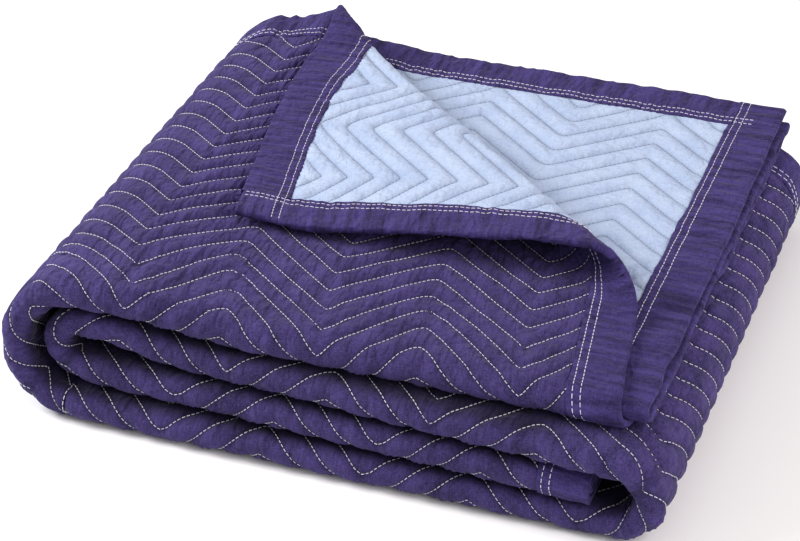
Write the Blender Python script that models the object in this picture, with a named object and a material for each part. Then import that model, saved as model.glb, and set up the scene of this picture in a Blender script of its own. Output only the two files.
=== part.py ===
"""A quilted moving blanket folded into a pile: four layers one way, four passes the other,
with one corner of the top layer turned back."""

import math

import bmesh
import bpy
import numpy as np

MM = 0.001

# The cloth, in metres
PITCH = 6.8 * MM  # from one layer to the next
CLOTH_HALF = 2.5 * MM  # half of the face and lining together
PRESSED_HALF = 1.55 * MM  # the same inside the binding
SPLIT_HALF = 0.15 * MM  # half of the gap between face and lining
BINDING_HALF = 2.85 * MM
BINDING_WALL = 0.9 * MM
BINDING_WIDTH = 40 * MM
EDGE_INSET = BINDING_WALL + 0.9 * MM  # cloth edge behind the folded edge of the binding
PRESS_RAMP = 3 * MM
BUTT_GAP = 0.3 * MM  # between a side strip and an end strip
EDGE_STOPS = (0.0, BINDING_WALL, EDGE_INSET, BINDING_WIDTH, BINDING_WIDTH + PRESS_RAMP)

# The four layers, front to back, measured from the front of the pile
LAYER_A, LAYER_B = 1.5 * PITCH, 0.5 * PITCH
FRONT_CENTRE = LAYER_A + CLOTH_HALF
INNER_FRONT_CENTRE = FRONT_CENTRE + 0.5 * MM
BACK_A, BACK_B, BACK_CENTRE = 0.4640, 0.4620, 0.4480
FRONT_Y = -0.21625  # front of the top pass
SIDE_SINK = 0.35 * MM  # the top side strip sits this much deeper, flush with the face

# The four passes, left to right
STACK = 4 * PITCH
FLOOR_PASS = LAYER_A + CLOTH_HALF
THIRD_PASS, SECOND_PASS, TOP_PASS = (FLOOR_PASS + n * STACK for n in (1, 2, 3))
LIFT_LEFT = 9.5 * MM  # the open inner loop raises what lies over it
LEFT_X, RIGHT_X = -0.2148, 0.2331
INNER_X, INNER_REACH = -0.198, 0.019
INNER_SHIFT, SLUMP_OVER = 0.011, 0.10  # the inner loop slumps into the outer one
START_X, END_X = 0.262, 0.216
TOP_RAMP, SECOND_RAMP = (-0.06, 0.13), (-0.11, 0.085)

# The turned-back corner, in a frame across (n) and along (t) its crease
CREASE_N = (0.66, 0.7513)
CREASE_T_ENDS = (-0.2945, 0.2085)
CREASE_START = (0.0638, 0.0488)
CREASE_RADIUS = (0.006, 0.020)
FLAP_REST = 6.5 * MM
FLAP_SETTLE = (0.10, 0.32)
APEX, APEX_LIFT, APEX_SPREAD = (-0.165, 0.24625), 0.012, 0.045
BACK_SKEW, SKEW_FROM, SKEW_OVER = 0.006, -0.19, 0.36  # the top layer lies a little askew
FLAP_BULGE, BULGE_FROM, BULGE_OVER = 0.010, -0.094, 0.33

STEPS = dict(outer=6, right=6, inner=6, front=4, fold=3)
COLOURS = dict(
    face=(0.045, 0.031, 0.123), lining=(0.40, 0.48, 0.65), binding=(0.036, 0.025, 0.112)
)


def smooth(value):
    value = np.clip(value, 0.0, 1.0)
    return value * value * (3.0 - 2.0 * value)


def ramp_up(x, ramp):
    return LIFT_LEFT * smooth((ramp[0] - x) / ramp[1])


def pile_curve():
    """The middle of the four layers, from the top end to the inner end, as x, z and length."""
    half = math.pi / 2
    top_x = np.linspace(START_X, LEFT_X, 400)
    second_x = np.linspace(RIGHT_X, INNER_X, 400)
    turn = np.linspace(half, 3 * half, 200)
    outer_mid = (TOP_PASS + LIFT_LEFT + FLOOR_PASS) / 2
    outer_reach = TOP_PASS + LIFT_LEFT - outer_mid
    inner_mid = (SECOND_PASS + LIFT_LEFT + THIRD_PASS) / 2
    inner_rise = SECOND_PASS + LIFT_LEFT - inner_mid
    right_mid = (FLOOR_PASS + SECOND_PASS) / 2
    right_turn = np.linspace(-half, half, 200)
    legs = [
        (top_x, TOP_PASS + ramp_up(top_x, TOP_RAMP)),
        (LEFT_X + outer_reach * np.cos(turn), outer_mid + outer_reach * np.sin(turn)),
        (np.linspace(LEFT_X, RIGHT_X, 100), np.full(100, FLOOR_PASS)),
        (RIGHT_X + STACK * np.cos(right_turn), right_mid + STACK * np.sin(right_turn)),
        (second_x, SECOND_PASS + ramp_up(second_x, SECOND_RAMP)),
        (INNER_X + INNER_REACH * np.cos(turn), inner_mid + inner_rise * np.sin(turn)),
        (np.linspace(INNER_X, END_X, 100), np.full(100, THIRD_PASS)),
    ]
    x, z, joints, run = [legs[0][0][:1]], [legs[0][1][:1]], [0.0], 0.0
    for leg_x, leg_z in legs:
        run += np.hypot(np.diff(leg_x), np.diff(leg_z)).sum()
        joints.append(run)
        x.append(leg_x[1:])
        z.append(leg_z[1:])
    x, z = np.concatenate(x), np.concatenate(z)
    length = np.concatenate([[0.0], np.cumsum(np.hypot(np.diff(x), np.diff(z)))])
    return x, z, length, joints


CURVE_X, CURVE_Z, CURVE_S, JOINTS = pile_curve()
TURN_X = np.gradient(CURVE_X, CURVE_S)
TURN_Z = np.gradient(CURVE_Z, CURVE_S)

# How far each stretch of the pile is pushed forward
SHIFT_S = [0.0, JOINTS[1], (JOINTS[1] + JOINTS[2]) / 2, JOINTS[2], JOINTS[4], JOINTS[5],
           JOINTS[6], JOINTS[7]]
SHIFT_Y = [0.0, -0.004, -0.021, -0.0275, -0.0294, -0.0018, -0.0131, -0.0294]
SHIFT_AT = np.linspace(0, JOINTS[-1], 400)
SHIFT = np.convolve(
    np.pad(np.interp(SHIFT_AT, SHIFT_S, SHIFT_Y), 8, "edge"), np.ones(17) / 17, "valid"
)

# Lengths across the four layers, from the top side edge to the under side edge
RUN_A = BACK_A - FRONT_CENTRE
RUN_FRONT = math.pi * LAYER_A
RUN_D = BACK_CENTRE - FRONT_CENTRE
RUN_FOLD = math.pi * LAYER_B
RUN_C = BACK_CENTRE - INNER_FRONT_CENTRE
RUN_B = BACK_B - INNER_FRONT_CENTRE
CROSS = np.cumsum([0, RUN_A, RUN_FRONT, RUN_D, RUN_FOLD, RUN_C, RUN_FOLD, RUN_B])
ACROSS = CROSS[-1]

TOP_END = 0.235  # average place of the top end
ALONG_TOP = JOINTS[1] - (START_X - TOP_END)
ALONG = ALONG_TOP + JOINTS[-1] - JOINTS[1]
END_V = [0.0, 0.7 * RUN_A, CROSS[1], CROSS[2], (CROSS[2] + CROSS[3]) / 2, CROSS[4], CROSS[5],
         CROSS[6], ACROSS]
END_AT = [0.1730, 0.2030, 0.2270, 0.2350, 0.250, 0.250, 0.2500, 0.2465, 0.2457]


def section(v):
    """Across the layers: distance from the front, height in the stack, and heading."""
    ahead = [v - start for start in CROSS]
    where = np.searchsorted(CROSS, v, side="right") - 1
    where = np.clip(where, 0, 6)
    sink = SIDE_SINK * (1 - smooth((v - BINDING_WIDTH) / PRESS_RAMP))
    front = ahead[1] / LAYER_A
    back = ahead[3] / LAYER_B
    inner = ahead[5] / LAYER_B
    y = np.choose(where, [
        BACK_A - v,
        FRONT_CENTRE - LAYER_A * np.sin(front),
        FRONT_CENTRE + ahead[2],
        BACK_CENTRE + LAYER_B * np.sin(back),
        BACK_CENTRE - ahead[4],
        INNER_FRONT_CENTRE - LAYER_B * np.sin(inner),
        INNER_FRONT_CENTRE + ahead[6],
    ])
    n = np.choose(where, [
        LAYER_A - sink,
        LAYER_A * np.cos(front),
        -LAYER_A + 0 * v,
        -LAYER_A + LAYER_B * (1 - np.cos(back)),
        -LAYER_B + 0 * v,
        -LAYER_B * np.cos(inner),
        LAYER_B + 0 * v,
    ])
    angle = np.choose(where, [
        0 * v, front, math.pi + 0 * v, math.pi + back, 0 * v, -inner, -math.pi + 0 * v
    ])
    return y, n, angle


def along_curve(u, v):
    start = START_X - np.interp(v, END_V, END_AT)
    return np.where(
        u < ALONG_TOP,
        start + (JOINTS[1] - start) * u / ALONG_TOP,
        JOINTS[1] + u - ALONG_TOP,
    )


def turned_back(x, y, z, h):
    """Moves points of the top layer beyond the crease up, over and back on the layer."""
    nx, ny = CREASE_N
    t_low, t_high = CREASE_T_ENDS
    share = np.clip((x * ny - y * nx - t_low) / (t_high - t_low), -0.1, 1.15)
    start = CREASE_START[0] + share * (CREASE_START[1] - CREASE_START[0])
    radius = CREASE_RADIUS[0] + share * (CREASE_RADIUS[1] - CREASE_RADIUS[0])
    beyond = x * nx + y * ny - start
    turn = np.clip(beyond / radius, 0.0, math.pi)
    past = np.clip(beyond - math.pi * radius, 0.0, None)
    settle = FLAP_SETTLE[0] + np.clip(share, 0, 1) * (FLAP_SETTLE[1] - FLAP_SETTLE[0])
    fall = 2 * radius - FLAP_REST
    rise = np.where(past > 0, 2 * radius - fall * smooth(past / settle),
                    radius * (1 - np.cos(turn)))
    ratio = np.clip(past / settle, 0.0, 1.0)
    slope = -fall * 6 * ratio * (1 - ratio) / settle
    slant = np.hypot(slope, 1.0)
    across = np.where(past > 0, -past, radius * np.sin(turn))
    normal_n = np.where(past > 0, -slope / slant, -np.sin(turn))
    normal_z = np.where(past > 0, -1.0 / slant, np.cos(turn))
    move = np.where(beyond > 0, across - beyond + h * normal_n, 0.0)
    x, y = x + move * nx, y + move * ny
    bulge = np.sin(math.pi * np.clip((y - BULGE_FROM) / BULGE_OVER, 0.0, 1.0))
    x = x - FLAP_BULGE * bulge * smooth(past / 0.06)
    return x, y, z + np.where(beyond > 0, rise + h * normal_z, h)


def apex_lift(x, y):
    near = np.exp(-((x - APEX[0]) ** 2 + (y - APEX[1]) ** 2) / APEX_SPREAD**2)
    return APEX_LIFT * near * smooth((x - LEFT_X) / 0.04)


def skew(x):
    return BACK_SKEW * np.clip((x - SKEW_FROM) / SKEW_OVER, 0.0, 1.0)


def folded(u, v, h):
    """Where the point (u, v) of the flat blanket lies in the pile, h above its middle."""
    s = along_curve(u, v)
    x, z = np.interp(s, CURVE_S, CURVE_X), np.interp(s, CURVE_S, CURVE_Z)
    tx, tz = np.interp(s, CURVE_S, TURN_X), np.interp(s, CURVE_S, TURN_Z)
    size = np.hypot(tx, tz)
    tx, tz = tx / size, tz / size
    y, n, angle = section(v)
    y = y + FRONT_Y + np.interp(s, SHIFT_AT, SHIFT)
    layer_a = (v < RUN_A) & (s < JOINTS[1])
    flat_x, flat_y = x, y + skew(x) * np.clip((RUN_A - v) / RUN_A, 0, 1)
    over_x, over_y, over_z = turned_back(flat_x, flat_y, z + n, h)
    over_z = over_z + apex_lift(over_x, over_y)
    over_z = over_z + ramp_up(over_x, TOP_RAMP) - ramp_up(flat_x, TOP_RAMP)
    slump = smooth((s - JOINTS[5]) / SLUMP_OVER + 1) * smooth((JOINTS[6] - s) / SLUMP_OVER + 1)
    x = x - INNER_SHIFT * slump
    y = y - h * np.sin(angle)
    n = n + h * np.cos(angle)
    return np.stack([
        np.where(layer_a, over_x, x + n * tz),
        np.where(layer_a, over_y, y),
        np.where(layer_a, over_z, z - n * tx),
    ], axis=1)


def stop_on_top(x):
    return (START_X - x) * ALONG_TOP / JOINTS[1]


def along_stations():
    stops = list(EDGE_STOPS)
    for x in (0.05, -0.06, -0.12, -0.16, SKEW_FROM):
        stops.append(stop_on_top(x))
    offset = ALONG_TOP - JOINTS[1]
    legs = [JOINTS[n] + offset for n in range(8)]
    stops += list(np.linspace(legs[1], legs[2], STEPS["outer"] + 1))
    stops += list(np.linspace(legs[3], legs[4], STEPS["right"] + 1))
    stops += [legs[4] + RIGHT_X - x for x in (-0.11, -0.155)]
    stops += list(np.linspace(legs[5], legs[6], STEPS["inner"] + 1))
    stops += [legs[6] + SLUMP_OVER / 2, legs[6] + SLUMP_OVER]
    return sorted(stops + [ALONG - stop for stop in EDGE_STOPS])


def across_stations():
    stops = list(EDGE_STOPS)
    stops += [RUN_A * share for share in (0.35, 0.7, 0.87)]
    stops += list(np.linspace(CROSS[1], CROSS[2], STEPS["front"] + 1))
    stops += list(np.linspace(CROSS[3], CROSS[4], STEPS["fold"] + 1))
    stops += list(np.linspace(CROSS[5], CROSS[6], STEPS["fold"] + 1))
    stops.append((CROSS[2] + CROSS[3]) / 2)
    return sorted(stops + [ACROSS - stop for stop in EDGE_STOPS])


def flat_of(x, y):
    """The flat place of a point of the top layer before its corner is turned back."""
    share = skew(x) / RUN_A
    v = (BACK_A + FRONT_Y - y + share * RUN_A) / (1 + share)
    start = START_X - np.interp(v, END_V, END_AT)
    return ((START_X - x) - start) * ALONG_TOP / (JOINTS[1] - start), v


def crease_cuts():
    """Lines along the roll of the turned-back corner and along the flap behind it."""
    (nx, ny), ends = CREASE_N, CREASE_T_ENDS
    lines = []
    turns = [(step * math.pi / 4, 0.0) for step in range(5)]
    pasts = [(math.pi, part) for part in (0.3, 0.7)]
    for turn, part in turns + pasts:
        line = []
        for end in (0, 1):
            n = CREASE_START[end] + turn * CREASE_RADIUS[end] + part * FLAP_SETTLE[end]
            line.append(flat_of(n * nx + ends[end] * ny, n * ny - ends[end] * nx))
        lines.append(line)
    return lines


def twice_area(points, ring):
    (ax, ay), (bx, by), (cx, cy) = points[ring]
    return (bx - ax) * (cy - ay) - (by - ay) * (cx - ax)


def split_cell(points, ring):
    """One or two triangles, the diagonal starting at the lowest corner where it can."""
    if len(ring) == 3:
        return [ring]
    lowest = min(range(4), key=lambda k: tuple(np.round(points[ring[k]], 6)))
    for turn in (lowest, lowest + 1):
        a, b, c, d = (ring[(turn + k) % 4] for k in range(4))
        pair = [[a, b, c], [a, c, d]]
        if min(twice_area(points, one) for one in pair) > 1e-9:
            break
    return pair


def flat_sheet(u_low, u_high, v_low, v_high):
    """The flat piece as points and triangles, cut along every fold."""
    bm = bmesh.new()
    corners = [(u_low, v_low), (u_high, v_low), (u_high, v_high), (u_low, v_high)]
    bm.faces.new([bm.verts.new((u, v, 0.0)) for u, v in corners])
    for stops, axis, low, high in (
        (along_stations(), 0, u_low, u_high), (across_stations(), 1, v_low, v_high)
    ):
        for stop in stops:
            if low + 0.1 * MM < stop < high - 0.1 * MM:
                where, facing = [0.0, 0.0, 0.0], [0.0, 0.0, 0.0]
                where[axis], facing[axis] = stop, 1.0
                bmesh.ops.bisect_plane(
                    bm, geom=bm.verts[:] + bm.edges[:] + bm.faces[:], dist=1e-7,
                    plane_co=where, plane_no=facing,
                )
    for (u1, v1), (u2, v2) in crease_cuts():
        faces = [
            face for face in bm.faces
            if face.calc_center_median().x < stop_on_top(SKEW_FROM)
            and face.calc_center_median().y < RUN_A
        ]
        if not faces:
            break
        edges = {edge for face in faces for edge in face.edges}
        verts = {vert for face in faces for vert in face.verts}
        bmesh.ops.bisect_plane(
            bm, geom=list(verts) + list(edges) + faces, dist=1e-4,
            plane_co=(u1, v1, 0.0), plane_no=(v2 - v1, u1 - u2, 0.0),
        )
    bmesh.ops.poke(bm, faces=[face for face in bm.faces if len(face.verts) > 4])
    bm.verts.index_update()
    points = np.array([vert.co[:2] for vert in bm.verts])
    triangles = []
    for face in bm.faces:
        ring = [vert.index for vert in face.verts]
        triangles += split_cell(points, ring if face.normal.z > 0 else ring[::-1])
    bm.free()
    return points, triangles


def cloth_half(points):
    """Half the thickness of the cloth: less under the binding."""
    u, v = points[:, 0], points[:, 1]
    inward = np.minimum(np.minimum(u, ALONG - u), np.minimum(v, ACROSS - v))
    share = smooth((inward - BINDING_WIDTH) / PRESS_RAMP)
    return PRESSED_HALF + share * (CLOTH_HALF - PRESSED_HALF)


def thick_piece(name, sheet, levels, filled, material, collection):
    """A closed solid over a flat sheet: between levels k and k+1 wherever filled says so."""
    points, triangles = sheet
    middles = points[np.array(triangles)].mean(axis=1)
    solid = [[bool(filled(k, u, v)) for u, v in middles] for k in range(len(levels) - 1)]
    sides = {}
    for index, ring in enumerate(triangles):
        for a, b in zip(ring, ring[1:] + ring[:1]):
            sides[(a, b)] = index
    count = len(points)
    faces = []
    for k, present in enumerate(solid):
        for index, ring in enumerate(triangles):
            if not present[index]:
                continue
            if k == 0 or not solid[k - 1][index]:
                faces.append([k * count + a for a in ring[::-1]])
            if k == len(solid) - 1 or not solid[k + 1][index]:
                faces.append([(k + 1) * count + a for a in ring])
            for a, b in zip(ring, ring[1:] + ring[:1]):
                other = sides.get((b, a))
                if other is None or not present[other]:
                    low, high = k * count, (k + 1) * count
                    faces.append([low + a, low + b, high + b, high + a])
    heights = [level(points) for level in levels]
    places = np.concatenate([folded(points[:, 0], points[:, 1], h) for h in heights])
    mesh = bpy.data.meshes.new(name)
    mesh.from_pydata([tuple(place) for place in places], [], faces)
    bm = bmesh.new()
    bm.from_mesh(mesh)
    bmesh.ops.delete(bm, geom=[v for v in bm.verts if not v.link_faces], context="VERTS")
    bmesh.ops.triangulate(bm, faces=bm.faces[:])
    bm.to_mesh(mesh)
    bm.free()
    mesh.materials.append(material)
    obj = bpy.data.objects.new(name, mesh)
    collection.objects.link(obj)
    return obj


def cloth_material(name, colour, roughness):
    material = bpy.data.materials.new(name)
    material.use_nodes = True
    shader = material.node_tree.nodes["Principled BSDF"]
    shader.inputs["Base Color"].default_value = (*colour, 1.0)
    shader.inputs["Roughness"].default_value = roughness
    shader.inputs["Metallic"].default_value = 0.0
    return material


def flat_level(height):
    return lambda points: np.full(len(points), height)


for old in list(bpy.data.objects):
    bpy.data.objects.remove(old)
blanket = bpy.data.collections.new("moving_blanket")
bpy.context.scene.collection.children.link(blanket)

face_cloth = cloth_material("face_cloth", COLOURS["face"], 0.9)
lining_cloth = cloth_material("lining_cloth", COLOURS["lining"], 0.9)
binding_tape = cloth_material("binding_tape", COLOURS["binding"], 0.8)

panel = flat_sheet(EDGE_INSET, ALONG - EDGE_INSET, EDGE_INSET, ACROSS - EDGE_INSET)
thick_piece(
    "face_panel", panel, [flat_level(SPLIT_HALF), cloth_half],
    lambda k, u, v: True, face_cloth, blanket,
)
thick_piece(
    "lining_panel", panel, [lambda points: -cloth_half(points), flat_level(-SPLIT_HALF)],
    lambda k, u, v: True, lining_cloth, blanket,
)

core = BINDING_HALF - BINDING_WALL
binding_levels = [flat_level(h) for h in (-BINDING_HALF, -core, core, BINDING_HALF)]
butt = BINDING_WIDTH + BUTT_GAP
strips = {
    "outer_end_binding": ((0.0, BINDING_WIDTH, 0.0, ACROSS), lambda u, v: u),
    "inner_end_binding": ((ALONG - BINDING_WIDTH, ALONG, 0.0, ACROSS),
                          lambda u, v: ALONG - u),
    "top_side_binding": ((butt, ALONG - butt, 0.0, BINDING_WIDTH), lambda u, v: v),
    "under_side_binding": ((butt, ALONG - butt, ACROSS - BINDING_WIDTH, ACROSS),
                           lambda u, v: ACROSS - v),
}
for name, (bounds, inward) in strips.items():
    thick_piece(
        name, flat_sheet(*bounds), binding_levels,
        lambda k, u, v, inward=inward: k != 1 or inward(u, v) < BINDING_WALL,
        binding_tape, blanket,
    )
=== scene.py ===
import math

import bmesh
import bpy
import numpy as np
from mathutils import Matrix, Vector
from mathutils.bvhtree import BVHTree


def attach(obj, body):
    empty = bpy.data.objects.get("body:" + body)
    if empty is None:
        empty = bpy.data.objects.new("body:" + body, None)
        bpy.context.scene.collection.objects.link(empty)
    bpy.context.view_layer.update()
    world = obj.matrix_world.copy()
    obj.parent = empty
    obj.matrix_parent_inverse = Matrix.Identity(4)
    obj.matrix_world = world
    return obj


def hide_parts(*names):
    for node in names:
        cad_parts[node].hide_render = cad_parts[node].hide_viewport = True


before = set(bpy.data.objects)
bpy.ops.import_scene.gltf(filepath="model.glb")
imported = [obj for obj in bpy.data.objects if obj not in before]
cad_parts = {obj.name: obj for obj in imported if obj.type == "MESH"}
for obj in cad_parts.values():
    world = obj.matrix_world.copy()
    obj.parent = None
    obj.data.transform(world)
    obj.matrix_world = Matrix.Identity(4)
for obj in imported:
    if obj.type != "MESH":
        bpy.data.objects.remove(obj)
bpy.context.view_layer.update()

# how the blanket lies, in metres: the same folds as the solids it stands for
fold = dict(
    pitch=0.0068,            # from one layer to the next
    clothHalf=0.0025,        # half of the face and lining together
    pressedHalf=0.00155,     # the same inside the binding
    halfWay=0.0033,          # the room on a side that faces another layer
    bindingWidth=0.040,
    pressRamp=0.003,
    backA=0.4640, backB=0.4620, backCentre=0.4480,
    frontY=-0.21625,
    sideSink=0.00035,
    innerGap=0.0005,         # extra room round the inner front fold
    liftLeft=0.0095,
    leftX=-0.2148, rightX=0.2331,
    innerX=-0.198, innerReach=0.019,
    startX=0.262, endX=0.216, topEnd=0.235,
    topRamp=(-0.06, 0.13), secondRamp=(-0.11, 0.085),
    innerShift=0.011, slumpOver=0.10,    # how far the inner loop slumps, and over what length
)
flap = dict(
    creaseN=(0.66, 0.7513), ends=(-0.2945, 0.2085), start=(0.0638, 0.0488),
    radius=(0.006, 0.020), rest=0.0065, settle=(0.10, 0.32),
    apex=(-0.165, 0.24625), apexLift=0.012, apexSpread=0.045, apexFade=0.04,
    skew=0.006, skewFrom=-0.19, skewOver=0.36,
    bulge=0.010, bulgeFrom=-0.094, bulgeOver=0.33,
    bulgeAfter=0.06,
    tipLift=0.006, tipSpread=0.075,
)

layerA, layerB = 1.5 * fold["pitch"], 0.5 * fold["pitch"]
frontCentre = layerA + fold["clothHalf"]
innerFrontCentre = frontCentre + fold["innerGap"]
stack = 4 * fold["pitch"]
floorPass = layerA + fold["clothHalf"]
thirdPass, secondPass, topPass = (floorPass + n * stack for n in (1, 2, 3))


def smooth(value):
    value = np.clip(value, 0.0, 1.0)
    return value * value * (3.0 - 2.0 * value)


def rampUp(x, ramp):
    return fold["liftLeft"] * smooth((ramp[0] - x) / ramp[1])


# the middle of the four layers, from the top end to the inner end
def pileCurve():
    half = math.pi / 2
    topX = np.linspace(fold["startX"], fold["leftX"], 400)
    secondX = np.linspace(fold["rightX"], fold["innerX"], 400)
    turn = np.linspace(half, 3 * half, 200)
    rightTurn = np.linspace(-half, half, 200)
    outerMid = (topPass + fold["liftLeft"] + floorPass) / 2
    outerReach = topPass + fold["liftLeft"] - outerMid
    innerMid = (secondPass + fold["liftLeft"] + thirdPass) / 2
    innerRise = secondPass + fold["liftLeft"] - innerMid
    rightMid = (floorPass + secondPass) / 2
    legs = [
        (topX, topPass + rampUp(topX, fold["topRamp"])),
        (fold["leftX"] + outerReach * np.cos(turn), outerMid + outerReach * np.sin(turn)),
        (np.linspace(fold["leftX"], fold["rightX"], 100), np.full(100, floorPass)),
        (fold["rightX"] + stack * np.cos(rightTurn), rightMid + stack * np.sin(rightTurn)),
        (secondX, secondPass + rampUp(secondX, fold["secondRamp"])),
        (fold["innerX"] + fold["innerReach"] * np.cos(turn),
         innerMid + innerRise * np.sin(turn)),
        (np.linspace(fold["innerX"], fold["endX"], 100), np.full(100, thirdPass)),
    ]
    x, z, joints, run = [legs[0][0][:1]], [legs[0][1][:1]], [0.0], 0.0
    for legX, legZ in legs:
        run += np.hypot(np.diff(legX), np.diff(legZ)).sum()
        joints.append(run)
        x.append(legX[1:])
        z.append(legZ[1:])
    x, z = np.concatenate(x), np.concatenate(z)
    length = np.concatenate([[0.0], np.cumsum(np.hypot(np.diff(x), np.diff(z)))])
    return x, z, length, joints


curveX, curveZ, curveS, joints = pileCurve()
turnX = np.gradient(curveX, curveS)
turnZ = np.gradient(curveZ, curveS)

# how far each stretch of the pile is pushed forward
shiftS = [0.0, joints[1], (joints[1] + joints[2]) / 2, joints[2], joints[4], joints[5],
          joints[6], joints[7]]
shiftY = [0.0, -0.004, -0.021, -0.0275, -0.0294, -0.0018, -0.0131, -0.0294]
shiftAt = np.linspace(0, joints[-1], 400)
shift = np.convolve(
    np.pad(np.interp(shiftAt, shiftS, shiftY), 8, "edge"), np.ones(17) / 17, "valid"
)

# lengths across the four layers, from the top side edge to the under side edge
runA = fold["backA"] - frontCentre
runs = [
    0, runA, math.pi * layerA, fold["backCentre"] - frontCentre, math.pi * layerB,
    fold["backCentre"] - innerFrontCentre, math.pi * layerB,
    fold["backB"] - innerFrontCentre,
]
cross = np.cumsum(runs)
across = cross[-1]
alongTop = joints[1] - (fold["startX"] - fold["topEnd"])
along = alongTop + joints[-1] - joints[1]
legU = [joint + alongTop - joints[1] for joint in joints]

# where the outer end lies on the top pass, layer by layer
endV = [0.0, 0.7 * runA, cross[1], cross[2], (cross[2] + cross[3]) / 2, cross[4], cross[5],
        cross[6], across]
endAt = [0.1730, 0.2030, 0.2270, 0.2350, 0.250, 0.250, 0.2500, 0.2465, 0.2457]


# across the layers: distance from the front, height in the stack, and heading
def section(v):
    ahead = [v - start for start in cross]
    where = np.clip(np.searchsorted(cross, v, side="right") - 1, 0, 6)
    sink = fold["sideSink"] * (1 - smooth((v - fold["bindingWidth"]) / fold["pressRamp"]))
    front, back, inner = ahead[1] / layerA, ahead[3] / layerB, ahead[5] / layerB
    y = np.choose(where, [
        fold["backA"] - v,
        frontCentre - layerA * np.sin(front),
        frontCentre + ahead[2],
        fold["backCentre"] + layerB * np.sin(back),
        fold["backCentre"] - ahead[4],
        innerFrontCentre - layerB * np.sin(inner),
        innerFrontCentre + ahead[6],
    ])
    n = np.choose(where, [
        layerA - sink,
        layerA * np.cos(front),
        -layerA + 0 * v,
        -layerA + layerB * (1 - np.cos(back)),
        -layerB + 0 * v,
        -layerB * np.cos(inner),
        layerB + 0 * v,
    ])
    angle = np.choose(where, [
        0 * v, front, math.pi + 0 * v, math.pi + back, 0 * v, -inner, -math.pi + 0 * v
    ])
    return y, n, angle


def alongCurve(u, v):
    start = fold["startX"] - np.interp(v, endV, endAt)
    return np.where(
        u < alongTop, start + (joints[1] - start) * u / alongTop, joints[1] + u - alongTop
    )


# how far the crease is from a point of the flat top layer, and the roll's radius there
def creasePlace(x, y):
    nx, ny = flap["creaseN"]
    low, high = flap["ends"]
    share = np.clip((x * ny - y * nx - low) / (high - low), -0.1, 1.15)
    start = flap["start"][0] + share * (flap["start"][1] - flap["start"][0])
    radius = flap["radius"][0] + share * (flap["radius"][1] - flap["radius"][0])
    return x * nx + y * ny - start, radius, share


# the corner of the top layer goes up, over and back on the layer
def turnedBack(x, y, z, h):
    nx, ny = flap["creaseN"]
    beyond, radius, share = creasePlace(x, y)
    turn = np.clip(beyond / radius, 0.0, math.pi)
    past = np.clip(beyond - math.pi * radius, 0.0, None)
    settleLow, settleHigh = flap["settle"]
    settle = settleLow + np.clip(share, 0, 1) * (settleHigh - settleLow)
    fall = 2 * radius - flap["rest"]
    rise = np.where(past > 0, 2 * radius - fall * smooth(past / settle),
                    radius * (1 - np.cos(turn)))
    ratio = np.clip(past / settle, 0.0, 1.0)
    slope = -fall * 6 * ratio * (1 - ratio) / settle
    slant = np.hypot(slope, 1.0)
    over = np.where(past > 0, -past, radius * np.sin(turn))
    normalN = np.where(past > 0, -slope / slant, -np.sin(turn))
    normalZ = np.where(past > 0, -1.0 / slant, np.cos(turn))
    move = np.where(beyond > 0, over - beyond + h * normalN, 0.0)
    x, y = x + move * nx, y + move * ny
    bulge = np.sin(math.pi * np.clip((y - flap["bulgeFrom"]) / flap["bulgeOver"], 0.0, 1.0))
    x = x - flap["bulge"] * bulge * smooth(past / flap["bulgeAfter"])
    return x, y, z + np.where(beyond > 0, rise + h * normalZ, h)


def apexLift(x, y):
    ax, ay = flap["apex"]
    near = np.exp(-((x - ax) ** 2 + (y - ay) ** 2) / flap["apexSpread"] ** 2)
    return flap["apexLift"] * near * smooth((x - fold["leftX"]) / flap["apexFade"])


def skewOf(x):
    return flap["skew"] * np.clip((x - flap["skewFrom"]) / flap["skewOver"], 0.0, 1.0)


# the top layer before its corner is turned back, and the flat place of such a point
def flatTop(u, v):
    x = fold["startX"] - alongCurve(u, v)
    y = fold["backA"] - v + fold["frontY"] + skewOf(x) * np.clip((runA - v) / runA, 0, 1)
    return x, y


def flatOf(x, y):
    lean = skewOf(x) / runA
    v = (fold["backA"] + fold["frontY"] - y + lean * runA) / (1 + lean)
    start = fold["startX"] - np.interp(v, endV, endAt)
    return ((fold["startX"] - x) - start) * alongTop / (joints[1] - start), v


# where the point (u, v) of the flat blanket lies in the pile, h above its middle
def folded(u, v, h):
    s = alongCurve(u, v)
    x, z = np.interp(s, curveS, curveX), np.interp(s, curveS, curveZ)
    tx, tz = np.interp(s, curveS, turnX), np.interp(s, curveS, turnZ)
    size = np.hypot(tx, tz)
    tx, tz = tx / size, tz / size
    y, n, angle = section(v)
    y = y + fold["frontY"] + np.interp(s, shiftAt, shift)
    onTop = (v < runA) & (s < joints[1])
    flatX, flatY = x, y + skewOf(x) * np.clip((runA - v) / runA, 0, 1)
    overX, overY, overZ = turnedBack(flatX, flatY, z + n, h)
    overZ = overZ + apexLift(overX, overY)
    overZ = overZ + rampUp(overX, fold["topRamp"]) - rampUp(flatX, fold["topRamp"])
    overZ = overZ + flap["tipLift"] * smooth(1 - np.hypot(u, v) / flap["tipSpread"])
    over = fold["slumpOver"]
    slump = smooth((s - joints[5]) / over + 1) * smooth((joints[6] - s) / over + 1)
    x = x - fold["innerShift"] * slump
    y = y - h * np.sin(angle)
    n = n + h * np.cos(angle)
    place = np.stack([
        np.where(onTop, overX, x + n * tz),
        np.where(onTop, overY, y),
        np.where(onTop, overZ, z - n * tx),
    ], axis=1)
    place[:, 2] = np.maximum(place[:, 2], 0.0)
    return place


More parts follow.
